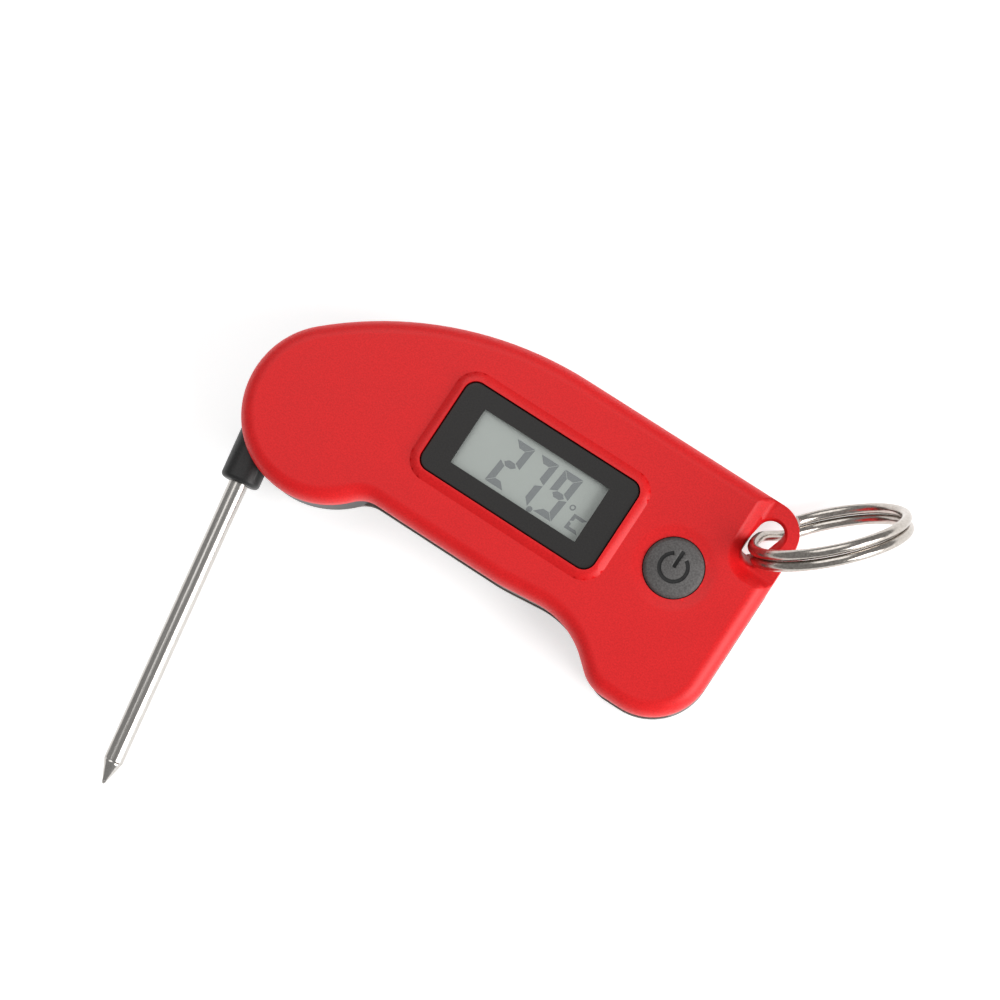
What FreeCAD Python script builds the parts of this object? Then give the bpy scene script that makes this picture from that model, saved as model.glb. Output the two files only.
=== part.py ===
import FreeCAD, Part
import math
import os
from FreeCAD import Vector

# Folding digital probe thermometer, millimetres.
# Origin: on the probe's pivot axis, in the plane of the back face.
# +X runs along the case towards the ear and the foot, +Y towards its crowned top edge, and +Z out
# of the display face.

OVERCUT = 1.0                  # how far a cutting shape runs past the surface it starts from
FAR = 150.0                    # past every edge of the case

# ---- Case layers, from the back face to the display face ----
BACK_TOP = 4.5                 # back cover, up to the middle layer
MIDDLE_TOP = 12.5              # grey middle frame and the probe's hub
FACE = 17.0                    # display face
FACE_ROUND = 3.2               # round-over of the display face's outer edge
BACK_ROUND = 2.4
WALL = 1.8                     # side walls of the two covers
PLATE = 1.7                    # face plates of the two covers
FRAME_STEP = 0.25              # the middle frame's sides are this far inside the outline
FRAME_WALL = 1.95

# ---- Case outline ----
LOBE_R = 18.0                  # round end that the probe turns in
BACK_LOBE_R = 17.5             # the back cover is a little smaller there
CROWN_R = 77.0                 # long arc from the lobe to the top edge
TOP_Y = 33.2
BOTTOM_Y = -10.2
FOOT_Y = -17.5
END_X = 92.0
END_TAPER = 0.4                # each layer behind the front cover ends this much earlier
NECK_R = 6.0                   # hollow between the lobe and the bottom edge
KINK = (46.5, BOTTOM_Y, 40.0)  # corners of the straight-sided outline: x, y, corner radius
ARCH = (62.5, -8.53, 17.5)
TOE = (72.75, FOOT_Y, 7.85)
HEEL_R = 12.1
EAR_R = 6.5

# ---- Probe ----
ROD_R = 2.0
ROD_HELD_R = 1.8               # the end that the collar is moulded round is thinner
ROD_START = 4.0                # along the rod, from the pivot's foot on the rod's axis
TUBE_BORE_R = 1.4
ROD_OFFSET = 12.4              # rod axis from the pivot axis, so that it folds along the bottom edge
ROD_Z = (BACK_TOP + MIDDLE_TOP) / 2
REST_ANGLE = -80.5             # direction of the rod at rest, from +X
COLLAR_END = 19.5
COLLAR_HALF = 4.0              # half the collar's width
TIP_END = 85.0
TAPER = 5.0                    # pointed end of the rod
TAPER_START = TIP_END - TAPER
HUB_R = 17.8
HUB_GAP = 0.2                  # hub to each cover
HUB_ROOM = 0.45                # hub's rim to the middle frame
RISER_X = -0.5                 # along the rod, where the sensor's wires rise into the hub's pocket
POCKET_R = 13.6                # ring-shaped pocket in the hub, for the wires' slack
POCKET_CORE_R = 8.4
POCKET_DEPTH = 2.6
BEAD_R = 0.8
SENSOR_WIRE_R = 0.35
SENSOR_WIRE_Y = 0.45           # each wire from the rod's axis

# ---- Pivot ----
BUSH_R = 3.5
WASHER_R = 7.4
WASHER_THICK = 0.5
SEAL_R = 16.1                  # the hub's dust seals
SEAL_HOLE_R = 14.7
SEAL_THICK = 0.85
SEAL_LAND_R = 14.2             # the covers are solid from here out, to face the seals
FIT = 0.1                      # gap round washers and seals in their grooves

# ---- Room in the middle frame for the folded probe ----
COLLAR_ROOM_X = 20.2
COLLAR_ROOM_Y = -7.9
ROD_ROOM_X = 88.2
ROD_ROOM_Y = BOTTOM_Y + 0.3
FRAME_START_X = -2.0           # left of this the hub is open to the outside

# ---- Display ----
DISPLAY_X = 40.65
DISPLAY_Y = 10.93
BEZEL_W = 40.6
BEZEL_H = 20.2
BEZEL_CORNER = 2.5
BEZEL_GAP = 0.2
BEZEL_LOW = 14.6
BEZEL_TOP = FACE + 0.4
BEZEL_FLANGE = 1.2             # behind the front cover, all round
LIP_TOP = FACE + 0.8           # red lip that stands round the bezel
LIP_W = 2.2
LIP_SLOPE = 1.2                # width of the lip's sloping outer side
WINDOW_W = 29.4
WINDOW_H = 12.5
LENS_W = 34.8
LENS_H = 17.0
LENS_TOP = BEZEL_TOP - 0.7
LENS_THICK = 0.7
GLASS_W = 34.6
GLASS_H = 16.8
GLASS_LOW = 14.5
GLASS_SPLIT = 15.2             # between the two glass plates
CONTACT_EDGE = 1.3             # bare edge of the lower glass plate
STRIP_W = 1.8                  # connector strip under each bare edge
STRIP_L = 30.0

# ---- Power button ----
BUTTON_X = 74.35
BUTTON_Y = 10.95
BUTTON_R = 6.0
BUTTON_GAP = 0.2
BUTTON_DOME = 1.0
BUTTON_LOW = 14.0
BUTTON_RIM = FACE - 0.1        # where the dome starts
BUTTON_FLANGE = 1.2
DISH_R = 8.8                   # shallow dish in the face round the button
DISH_DEPTH = 0.4
SIGN_R = 2.8                   # the power sign's arc
SIGN_STROKE = 0.8
SIGN_FLOOR = BUTTON_RIM + 0.55
SIGN_GAP_HALF = 30.0           # degrees
SIGN_TOP = 3.7

# ---- Ear and split ring ----
EAR_X = 86.0                   # centre of the slot at the front
EAR_Y = 24.8
EAR_BACK = 9.0                 # the ear is a tongue of the front cover, thinner than the case
EAR_FRONT = 14.0
EAR_WEB_BACK = 5.0             # a web behind the tongue, on the side that the ring doesn't need
EAR_LEFT = 80.5                # where the face starts to fall away towards the ear
EAR_LOW = 15.5
EAR_CORNER = 6.5
EAR_WALL = 1.5                 # front cover's inner wall, outside the ear's area
EAR_ROOT = 1.5                 # inside the ear's area, where the tongue starts behind the cover
EAR_GAP = 1.4                  # inside the ear's area, where the other layers end
SCOOP_SLOPE = 3.5              # width of the fall, seen from the front
SLOT_W = 5.6
SLOT_L = 9.8
SLOT_FLARE = 1.6               # how much wider and longer its front mouth is
SLOT_TILT = 9.0                # degrees, at the front
SLOT_BACK_TILT = 20.0
SLOT_SHIFT_X = -1.7            # its back mouth, from its front mouth
SLOT_SHIFT_Y = 1.8
WIRE_R = 1.05
RING_R = 15.2                  # to the middle of the wire
TURN_LIFT = WIRE_R + 0.05      # each turn's distance from the ring's middle plane
RING_CENTRE = Vector(96.62, 32.64, 15.8)
RING_U = Vector(0.6948, 0.7162, -0.066)
RING_V = Vector(0.3045, -0.2098, 0.9291)
RING_CLEARANCE = 0.5           # the ear's web to the ring

# ---- Battery and its door ----
BATTERY_X = 45.0
BATTERY_Y = 11.0
BATTERY_R = 10.0
BATTERY_LOW = 4.4
BATTERY_HIGH = 7.6
CUP_R = 13.0                   # the back cover's wall round the battery
LEDGE_TOP = 3.0                # the door's lugs turn above this
DOOR_R = 12.0
DOOR_THICK = 1.6
DOOR_PLUG_R = 10.2
DOOR_PLUG_TOP = 4.2
LUG_R = 11.4
LUG_LOW = 3.1
LUG_HIGH = 3.9
LUG_HALF = 12.0                # degrees
SEAL_GROOVE_R = 11.7
SEAL_GROOVE_HOLE_R = 10.8
SEAL_GROOVE_FLOOR = 1.0

# ---- Circuit board and what is soldered on it ----
BOARD_LOW = 11.0
BOARD_HIGH = 12.2
BOARD_GAP = 0.6                # board to the middle frame's walls
BOARD_START_X = 8.0
SWITCH_SIZE = 6.2
SWITCH_HIGH = BOARD_HIGH + 1.2
PLUNGER_R = 1.5
WIRES_Y = 3.4                  # two wires from the board to the pivot
WIRES_PITCH = 1.2
WIRES_TOP = 13.6
WIRES_BOARD_X = 24.0
WIRES_PIVOT_X = 6.6
BOARD_WIRE_R = 0.4

# ---- Screws ----
SCREWS = [(28.0, 25.5), (66.5, 27.5), (27.5, -3.6), (84.5, -2.5)]
SCREW_R = 1.1
SCREW_TIP = 14.8
HEAD_R = 2.0
HEAD_LOW = 0.7
HEAD_TOP = 2.15
HEAD_SEAT = 2.2                # depth of the sunk holes for the heads
HEAD_GAP = 0.2
PIVOT_SCREW_R = 1.5
PIVOT_TIP = 15.1
PIVOT_HEAD_R = 3.1
PIVOT_HEAD_LOW = 0.5
RECESS_W = 0.6                 # the cross recess in each head
RECESS_DEPTH = 0.7
BOSS_R = 2.7                   # round each screw in the front cover and the middle frame
POST_R = 3.3                   # round each screw in the back cover
PIVOT_BOSS_R = 5.0


# ---------------------------------------------------------------- shapes used throughout
def cylinder(radius, low, high, x=0.0, y=0.0):
    return Part.makeCylinder(radius, high - low, Vector(x, y, low))


def tube(outer, inner, low, high, x=0.0, y=0.0):
    return cylinder(outer, low, high, x, y).cut(cylinder(inner, low - OVERCUT, high + OVERCUT, x, y))


def block(x0, x1, y0, y1, z0, z1):
    return Part.makeBox(x1 - x0, y1 - y0, z1 - z0, Vector(x0, y0, z0))


def block_on(x, y, width, height, low, high):
    return block(x - width / 2, x + width / 2, y - height / 2, y + height / 2, low, high)


def slab(face, low, high):
    """A flat face drawn at z = 0, made solid between two heights."""
    lifted = face.copy()
    lifted.translate(Vector(0, 0, low))
    return lifted.extrude(Vector(0, 0, high - low))


def joined(first, *others):
    return first.fuse(list(others)).removeSplitter()


def one_solid(shape):
    """The largest solid of a boolean's result, without its compound wrapper."""
    return max(shape.Solids, key=lambda solid: solid.Volume)


def rounded_path(start, corners, end):
    """Straight edges through the corners (x, y, radius), each corner turned into a tangent arc."""
    here = Vector(start[0], start[1], 0)
    edges = []
    for index, (x, y, radius) in enumerate(corners):
        corner = Vector(x, y, 0)
        following = corners[index + 1] if index + 1 < len(corners) else end
        before = Vector(here - corner).normalize()
        after = Vector(Vector(following[0], following[1], 0) - corner).normalize()
        half_angle = before.getAngle(after) / 2
        reach = radius / math.tan(half_angle)
        middle_way = Vector(before + after).normalize()
        middle = corner + middle_way * (radius / math.sin(half_angle) - radius)
        arc_start = corner + before * reach
        arc_end = corner + after * reach
        edges.append(Part.LineSegment(here, arc_start).toShape())
        edges.append(Part.Arc(arc_start, middle, arc_end).toShape())
        here = arc_end
    edges.append(Part.LineSegment(here, Vector(end[0], end[1], 0)).toShape())
    return edges


def rounded_rectangle(x, y, width, height, radius):
    left, right = x - width / 2, x + width / 2
    low, high = y - height / 2, y + height / 2
    corners = [(right, low, radius), (right, high, radius), (left, high, radius), (left, low, radius)]
    return Part.Face(Part.Wire(rounded_path((x, low), corners, (x, low))))


def obround(x, y, width, length, tilt, z):
    """A slot's outline, long way along Y and tilted towards +X by an angle in degrees."""
    half = (length - width) / 2
    r = width / 2
    line_right = Part.LineSegment(Vector(r, -half, 0), Vector(r, half, 0))
    cap_top = Part.Arc(Vector(r, half, 0), Vector(0, half + r, 0), Vector(-r, half, 0))
    line_left = Part.LineSegment(Vector(-r, half, 0), Vector(-r, -half, 0))
    cap_bottom = Part.Arc(Vector(-r, -half, 0), Vector(0, -half - r, 0), Vector(r, -half, 0))
    wire = Part.Wire([piece.toShape() for piece in (line_right, cap_top, line_left, cap_bottom)])
    wire.rotate(Vector(0, 0, 0), Vector(0, 0, 1), -tilt)
    wire.translate(Vector(x, y, z))
    return wire


def round_bar(points, radius):
    """A wire through the points, round at every corner."""
    pieces = []
    for start, end in zip(points, points[1:]):
        run = end - start
        pieces.append(Part.makeCylinder(radius, run.Length, start, run))
    for corner in points[1:-1]:
        pieces.append(Part.makeSphere(radius, corner))
    return joined(pieces[0], *pieces[1:])


def ring_sector(outer, inner, low, high, centre_angle, half_angle, x=0.0, y=0.0):
    start = Vector(x, y, low)
    size = 2 * half_angle
    solid = Part.makeCylinder(outer, high - low, start, Vector(0, 0, 1), size)
    solid = solid.cut(cylinder(inner, low - OVERCUT, high + OVERCUT, x, y))
    solid.rotate(start, Vector(0, 0, 1), centre_angle - half_angle)
    return solid


# ---------------------------------------------------------------- case outline
def case_face(end_x=END_X, lobe_r=LOBE_R):
    """The case's outline: lobe, crown, straight end with its ear corner, foot, arch and neck."""
    crown_x = math.sqrt((CROWN_R - lobe_r) ** 2 - (TOP_Y - CROWN_R) ** 2)
    crown_centre = Vector(crown_x, TOP_Y - CROWN_R, 0)
    lobe_to_crown = Vector(crown_centre).normalize() * -lobe_r
    neck_y = BOTTOM_Y - NECK_R
    neck_centre = Vector(math.sqrt((lobe_r + NECK_R) ** 2 - neck_y ** 2), neck_y, 0)
    lobe_to_neck = Vector(neck_centre).normalize() * lobe_r
    neck_end = Vector(neck_centre.x, BOTTOM_Y, 0)
    neck_turn = Vector(lobe_to_neck + neck_end - neck_centre * 2).normalize()
    lobe_low = Vector(-1, -1, 0).normalize() * lobe_r
    crown_top = Vector(crown_centre.x, TOP_Y, 0)
    crown_turn = Vector(lobe_to_crown + crown_top - crown_centre * 2).normalize()

    corners = [KINK, ARCH, TOE, (end_x, FOOT_Y, HEEL_R), (end_x, TOP_Y, EAR_R)]
    edges = [Part.Arc(lobe_to_crown, lobe_low, lobe_to_neck).toShape()]
    edges.append(Part.Arc(lobe_to_neck, neck_centre + neck_turn * NECK_R, neck_end).toShape())
    edges += rounded_path((neck_end.x, neck_end.y), corners, (crown_top.x, crown_top.y))
    edges.append(Part.Arc(crown_top, crown_centre + crown_turn * CROWN_R, lobe_to_crown).toShape())
    return Part.Face(Part.Wire(edges))


def inset(face, distance):
    return face.makeOffset2D(-distance)


def frame_face():
    """The outline of the layer behind the front cover."""
    return inset(case_face(END_X - END_TAPER), FRAME_STEP)


def edges_at(solid, height):
    def flat(edge):
        box = edge.BoundBox
        return abs(box.ZMin - height) < 1e-4 and abs(box.ZMax - height) < 1e-4
    return [edge for edge in solid.Edges if flat(edge)]


# ---------------------------------------------------------------- ear
def ear_area(inset_by):
    """The case's corner round the ear, seen from the front; it runs out past the case."""
    left = EAR_LEFT + inset_by
    low = EAR_LOW + inset_by
    right = END_X + 15
    high = TOP_Y + 15
    return rounded_rectangle((left + right) / 2, (low + high) / 2, right - left, high - low,
                             EAR_CORNER - inset_by)


def ear_block(inset_by):
    """The ear's area through the whole thickness of the case."""
    return slab(ear_area(inset_by), -OVERCUT, FACE)


def scoop():
    """What is taken off the face at the ear: a smooth S-shaped fall down to the tongue."""
    start = FACE + 0.05
    steps = 6
    rings = []
    for index in range(steps + 1):
        part_way = index / steps
        fall = part_way ** 2 * (3 - 2 * part_way)
        ring = ear_area(SCOOP_SLOPE * part_way).OuterWire
        ring.translate(Vector(0, 0, start - (start - EAR_FRONT) * fall))
        rings.append(ring)
    return Part.makeLoft(rings, True).fuse(slab(ear_area(0), start, LIP_TOP + OVERCUT))


def ring_side():
    """Everything on the split ring's side of a plane that runs just clear of the ring."""
    axis = RING_U.cross(RING_V)
    start = RING_CENTRE + axis * (TURN_LIFT + WIRE_R + RING_CLEARANCE)
    return Part.makeCylinder(FAR, FAR, start, axis * -1)


def ear_slot():
    """The slanted slot that the split ring passes through, wider at its front mouth."""
    front_z = EAR_FRONT - 1.0
    mouth = obround(EAR_X, EAR_Y, SLOT_W + SLOT_FLARE, SLOT_L + SLOT_FLARE, SLOT_TILT, EAR_FRONT + 0.4)
    front = obround(EAR_X, EAR_Y, SLOT_W, SLOT_L, SLOT_TILT, front_z)
    back = obround(EAR_X + SLOT_SHIFT_X, EAR_Y + SLOT_SHIFT_Y, SLOT_W, SLOT_L, SLOT_BACK_TILT,
                   EAR_BACK - OVERCUT)
    return Part.makeLoft([front, back], True).fuse(Part.makeLoft([mouth, front], True))


# ---------------------------------------------------------------- covers
def display_lip():
    lip = slab(rounded_rectangle(DISPLAY_X, DISPLAY_Y, BEZEL_W + 2 * LIP_W, BEZEL_H + 2 * LIP_W,
                                 BEZEL_CORNER + LIP_W), FACE - PLATE / 2, LIP_TOP)
    return lip.makeChamfer(LIP_TOP - FACE - 0.02, LIP_SLOPE, edges_at(lip, LIP_TOP))


def power_dish():
    """A shallow cone-shaped dish in the face round the button, carried on a little above it."""
    slope = (DISH_R - BUTTON_R) / DISH_DEPTH
    above = 0.1
    return Part.makeCone(BUTTON_R, DISH_R + above * slope, DISH_DEPTH + above,
                         Vector(BUTTON_X, BUTTON_Y, FACE - DISH_DEPTH))


def front_cover():
    outline = case_face()
    shell = slab(outline, MIDDLE_TOP, FACE)
    shell = shell.makeFillet(FACE_ROUND, edges_at(shell, FACE))
    shell = joined(shell, display_lip())
    shell = shell.cut(scoop())
    hollow = slab(inset(outline, WALL), MIDDLE_TOP - OVERCUT, FACE - PLATE)
    seal_land = tube(LOBE_R + FIT, SEAL_LAND_R, MIDDLE_TOP - 2 * OVERCUT, FACE)
    wire_channel = block(SEAL_LAND_R - 2, LOBE_R + 4, WIRES_Y - 1.4, WIRES_Y + WIRES_PITCH + 1.4,
                         MIDDLE_TOP + 0.6, FACE - PLATE)
    hollow = hollow.cut(seal_land).fuse(wire_channel).cut(ear_block(-EAR_WALL))
    shell = shell.cut(hollow)
    tongue = slab(frame_face(), EAR_BACK, MIDDLE_TOP).common(ear_block(EAR_ROOT))
    web = slab(frame_face(), EAR_WEB_BACK, EAR_BACK).common(ear_block(EAR_ROOT)).cut(ring_side())
    shell = joined(shell, tongue, web)
    boss_top = FACE - PLATE / 2
    bosses = [cylinder(PIVOT_BOSS_R, MIDDLE_TOP, boss_top)]
    bosses += [cylinder(BOSS_R, MIDDLE_TOP, boss_top, x, y) for x, y in SCREWS]
    shell = joined(shell, *bosses)
    thread_gap = 0.05
    holes = [cylinder(PIVOT_SCREW_R + FIT, MIDDLE_TOP - OVERCUT, FACE - PLATE)]
    holes += [cylinder(SCREW_R + thread_gap, MIDDLE_TOP - OVERCUT, FACE - PLATE, x, y)
              for x, y in SCREWS]
    opening = rounded_rectangle(DISPLAY_X, DISPLAY_Y, BEZEL_W + 2 * BEZEL_GAP, BEZEL_H + 2 * BEZEL_GAP,
                                BEZEL_CORNER + BEZEL_GAP)
    holes.append(slab(opening, MIDDLE_TOP, LIP_TOP + OVERCUT))
    holes.append(cylinder(BUTTON_R + BUTTON_GAP, MIDDLE_TOP, FACE + OVERCUT, BUTTON_X, BUTTON_Y))
    holes += [power_dish(), ear_slot()]
    for hole in holes:
        shell = shell.cut(hole)
    return one_solid(shell)


def back_cover():
    outline = case_face(END_X - 2 * END_TAPER, BACK_LOBE_R)
    shell = slab(outline, 0, BACK_TOP)
    shell = shell.makeFillet(BACK_ROUND, edges_at(shell, 0))
    shell = shell.cut(ear_block(EAR_GAP))
    hollow = slab(inset(outline, WALL), PLATE, BACK_TOP + OVERCUT)
    seal_land = tube(BACK_LOBE_R + FIT, SEAL_LAND_R, 0, BACK_TOP + 2 * OVERCUT)
    foot_floor = block(TOE[0] - 2 * HEEL_R, END_X, -FAR, BOTTOM_Y + WALL, 0, BACK_TOP + 2 * OVERCUT)
    hollow = hollow.cut(seal_land).cut(ear_block(EAR_GAP - WALL)).cut(foot_floor)
    shell = shell.cut(hollow)
    plate_middle = PLATE / 2
    cup = tube(CUP_R, LUG_R + 0.3, plate_middle, BATTERY_HIGH, BATTERY_X, BATTERY_Y)
    ledge = cylinder(CUP_R, plate_middle, LEDGE_TOP, BATTERY_X, BATTERY_Y)
    posts = [cylinder(PIVOT_BOSS_R, plate_middle, BACK_TOP)]
    posts += [cylinder(POST_R, plate_middle, BACK_TOP, x, y) for x, y in SCREWS]
    shell = joined(shell, cup, ledge, *posts)
    through = BACK_TOP + OVERCUT
    holes = [cylinder(PIVOT_HEAD_R + HEAD_GAP, -OVERCUT, HEAD_SEAT)]
    holes.append(cylinder(PIVOT_SCREW_R + FIT, -OVERCUT, through))
    holes += [cylinder(HEAD_R + HEAD_GAP, -OVERCUT, HEAD_SEAT, x, y) for x, y in SCREWS]
    holes += [cylinder(SCREW_R + 0.15, -OVERCUT, through, x, y) for x, y in SCREWS]
    holes.append(cylinder(DOOR_R + FIT, -OVERCUT, PLATE, BATTERY_X, BATTERY_Y))
    holes.append(cylinder(DOOR_PLUG_R + 0.2, -OVERCUT, through, BATTERY_X, BATTERY_Y))
    entry_turn = 40.0
    for angle in (entry_turn, entry_turn + 180):
        holes.append(ring_sector(LUG_R + 0.2, DOOR_PLUG_R / 2, PLATE - OVERCUT, LUG_HIGH + FIT, angle,
                                 LUG_HALF + 3, BATTERY_X, BATTERY_Y))
    for hole in holes:
        shell = shell.cut(hole)
    return one_solid(shell)


def middle_room(gap=0.0):
    """The closed room inside the middle frame, less a gap all round."""
    wall = FRAME_WALL + gap
    outline = inset(case_face(END_X - END_TAPER), FRAME_STEP + wall)
    room = slab(outline, BACK_TOP - OVERCUT, MIDDLE_TOP + OVERCUT)
    room = room.cut(cylinder(HUB_R + HUB_ROOM + wall, 0, FACE))
    room = room.cut(block(-FAR, FAR, -FAR, ROD_ROOM_Y + wall, 0, FACE))
    room = room.cut(block(-FAR, COLLAR_ROOM_X + wall, -FAR, COLLAR_ROOM_Y + wall, 0, FACE))
    return room.cut(ear_block(EAR_GAP - wall))


def middle_frame():
    frame = slab(frame_face(), BACK_TOP, MIDDLE_TOP)
    frame = frame.cut(middle_room())
    frame = frame.cut(cylinder(HUB_R + HUB_ROOM, 0, FACE))
    frame = frame.cut(block(-FAR, COLLAR_ROOM_X, -FAR, COLLAR_ROOM_Y, 0, FACE))
    frame = frame.cut(block(-FAR, ROD_ROOM_X, -FAR, ROD_ROOM_Y, 0, FACE))
    frame = frame.cut(block(-FAR, FRAME_START_X, -FAR, FAR, 0, FACE))
    frame = one_solid(frame)
    posts = [cylinder(BOSS_R, BACK_TOP, MIDDLE_TOP, x, y) for x, y in SCREWS]
    frame = joined(frame, *posts)
    frame = frame.cut(ear_block(EAR_GAP))
    for x, y in SCREWS:
        frame = frame.cut(cylinder(SCREW_R + 0.15, 0, FACE, x, y))
    return one_solid(frame)


# ---------------------------------------------------------------- display
def display_bezel():
    edge_round = 0.25
    outer = slab(rounded_rectangle(DISPLAY_X, DISPLAY_Y, BEZEL_W, BEZEL_H, BEZEL_CORNER),
                 BEZEL_LOW, BEZEL_TOP)
    outer = outer.makeFillet(edge_round, edges_at(outer, BEZEL_TOP))
    flange = slab(rounded_rectangle(DISPLAY_X, DISPLAY_Y, BEZEL_W + 2 * BEZEL_FLANGE,
                                    BEZEL_H + 2 * BEZEL_FLANGE, BEZEL_CORNER + BEZEL_FLANGE),
                  BEZEL_LOW, FACE - PLATE - 0.05)
    frame = joined(outer, flange)
    window = block_on(DISPLAY_X, DISPLAY_Y, WINDOW_W, WINDOW_H, BEZEL_LOW - OVERCUT, LIP_TOP)
    rebate = block_on(DISPLAY_X, DISPLAY_Y, LENS_W + 0.2, LENS_H + 0.2, BEZEL_LOW - OVERCUT, LENS_TOP)
    return one_solid(frame.cut(window).cut(rebate))


def display_lens():
    return block_on(DISPLAY_X, DISPLAY_Y, LENS_W, LENS_H, LENS_TOP - LENS_THICK, LENS_TOP)


def lcd_panel():
    """Two glass plates; the lower one is longer and carries the contact edges."""
    upper_h = GLASS_H - 2 * CONTACT_EDGE
    upper_top = LENS_TOP - LENS_THICK - 0.05
    upper = block_on(DISPLAY_X, DISPLAY_Y, GLASS_W, upper_h, GLASS_SPLIT, upper_top)
    lower = block_on(DISPLAY_X, DISPLAY_Y, GLASS_W, GLASS_H, GLASS_LOW, GLASS_SPLIT)
    return joined(upper, lower)


def lcd_connector_strips():
    from_middle = GLASS_H / 2 - CONTACT_EDGE + 0.1
    strips = [block_on(DISPLAY_X, DISPLAY_Y + side * from_middle, STRIP_L, STRIP_W, BOARD_HIGH, GLASS_LOW)
              for side in (-1, 1)]
    return Part.makeCompound(strips)


# ---------------------------------------------------------------- electronics
def circuit_board():
    """Fills the middle frame's room, less a gap, and has a notch round each screw's post."""
    board = middle_room(BOARD_GAP).common(block(BOARD_START_X, FAR, -FAR, FAR, BOARD_LOW, BOARD_HIGH))
    for x, y in SCREWS:
        board = board.cut(cylinder(BOSS_R + 0.4, 0, FACE, x, y))
    return one_solid(board)


def board_chip():
    """Controller chip with its rows of pins on two sides."""
    chip_x, chip_y = 66.0, 18.0
    chip_size = 6.0
    pins_a_side = 6
    pin_pitch, pin_length, pin_width, pin_height = 0.9, 1.4, 0.4, 0.5
    chip = block_on(chip_x, chip_y, chip_size, chip_size, BOARD_HIGH + 0.1, BOARD_HIGH + 1.3)
    pins = []
    for side in (-1, 1):
        pin_x = chip_x + side * (chip_size / 2 + 0.4)
        for index in range(pins_a_side):
            pin_y = chip_y + (index - (pins_a_side - 1) / 2) * pin_pitch
            pins.append(block_on(pin_x, pin_y, pin_length, pin_width, BOARD_HIGH, BOARD_HIGH + pin_height))
    return joined(chip, *pins)


def switch_body():
    can = block_on(BUTTON_X, BUTTON_Y, SWITCH_SIZE, SWITCH_SIZE, BOARD_HIGH, SWITCH_HIGH)
    return can.cut(cylinder(PLUNGER_R + 0.1, BOARD_HIGH + 0.05, FACE, BUTTON_X, BUTTON_Y))


def switch_plunger():
    """Stands just under the button, with the button's travel left below it."""
    return cylinder(PLUNGER_R, BOARD_HIGH + 0.55, BUTTON_LOW - 0.05, BUTTON_X, BUTTON_Y)


def power_button():
    """Rubber button: flange under the cover, low dome, and a power sign sunk into the dome."""
    dome_top = BUTTON_RIM + BUTTON_DOME
    ball_r = (BUTTON_R ** 2 + BUTTON_DOME ** 2) / (2 * BUTTON_DOME)
    stem = cylinder(BUTTON_R, BUTTON_LOW, dome_top, BUTTON_X, BUTTON_Y)
    ball = Part.makeSphere(ball_r, Vector(BUTTON_X, BUTTON_Y, dome_top - ball_r))
    stem = stem.common(ball)
    flange = cylinder(BUTTON_R + BUTTON_FLANGE, BUTTON_LOW, FACE - PLATE - 0.15, BUTTON_X, BUTTON_Y)
    button = joined(stem, flange)
    above = dome_top + OVERCUT
    half_stroke = SIGN_STROKE / 2
    arc = tube(SIGN_R + half_stroke, SIGN_R - half_stroke, SIGN_FLOOR, above, BUTTON_X, BUTTON_Y)
    gap = ring_sector(BUTTON_R, 0.01, SIGN_FLOOR - OVERCUT, above + OVERCUT, 90, SIGN_GAP_HALF,
                      BUTTON_X, BUTTON_Y)
    line = block(BUTTON_X - half_stroke, BUTTON_X + half_stroke, BUTTON_Y, BUTTON_Y + SIGN_TOP,
                 SIGN_FLOOR, above)
    return one_solid(button.cut(arc.cut(gap)).cut(line))


def battery():
    """Coin cell: the can, and the smaller lid on its minus side, towards the board."""
    edge_round = 0.5
    can = cylinder(BATTERY_R, BATTERY_LOW, BATTERY_HIGH - 0.5, BATTERY_X, BATTERY_Y)
    can = can.makeFillet(edge_round, edges_at(can, BATTERY_LOW))
    lid = cylinder(BATTERY_R - 1.4, BATTERY_LOW + 1, BATTERY_HIGH, BATTERY_X, BATTERY_Y)
    return joined(can, lid)


def battery_contact_minus():
    """Leaf spring from the board to the middle of the cell."""
    thick, half_width = 0.4, 2.0
    leg_x, y = BATTERY_X - 5, BATTERY_Y
    leg = block(leg_x - thick, leg_x, y - half_width, y + half_width, BATTERY_HIGH + 0.4, BOARD_LOW)
    leaf = block(leg_x - thick, leg_x + 7, y - half_width, y + half_width,
                 BATTERY_HIGH + 0.2, BATTERY_HIGH + 0.2 + thick)
    knob = cylinder(1.2, BATTERY_HIGH, BATTERY_HIGH + thick, leg_x + 5.5, y)
    return joined(leg, leaf, knob)


def battery_contact_plus():
    """Upright strip that presses on the rim of the cell."""
    thick, half_width = 0.4, 2.0
    x = BATTERY_X + BATTERY_R
    strip_x = x + 0.6
    strip = block(strip_x, strip_x + thick, BATTERY_Y - half_width, BATTERY_Y + half_width,
                  BATTERY_LOW + 0.5, BOARD_LOW)
    bump = block(x, strip_x + thick / 2, BATTERY_Y - 1, BATTERY_Y + 1, BATTERY_LOW + 0.9, BATTERY_LOW + 1.8)
    return joined(strip, bump)


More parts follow.
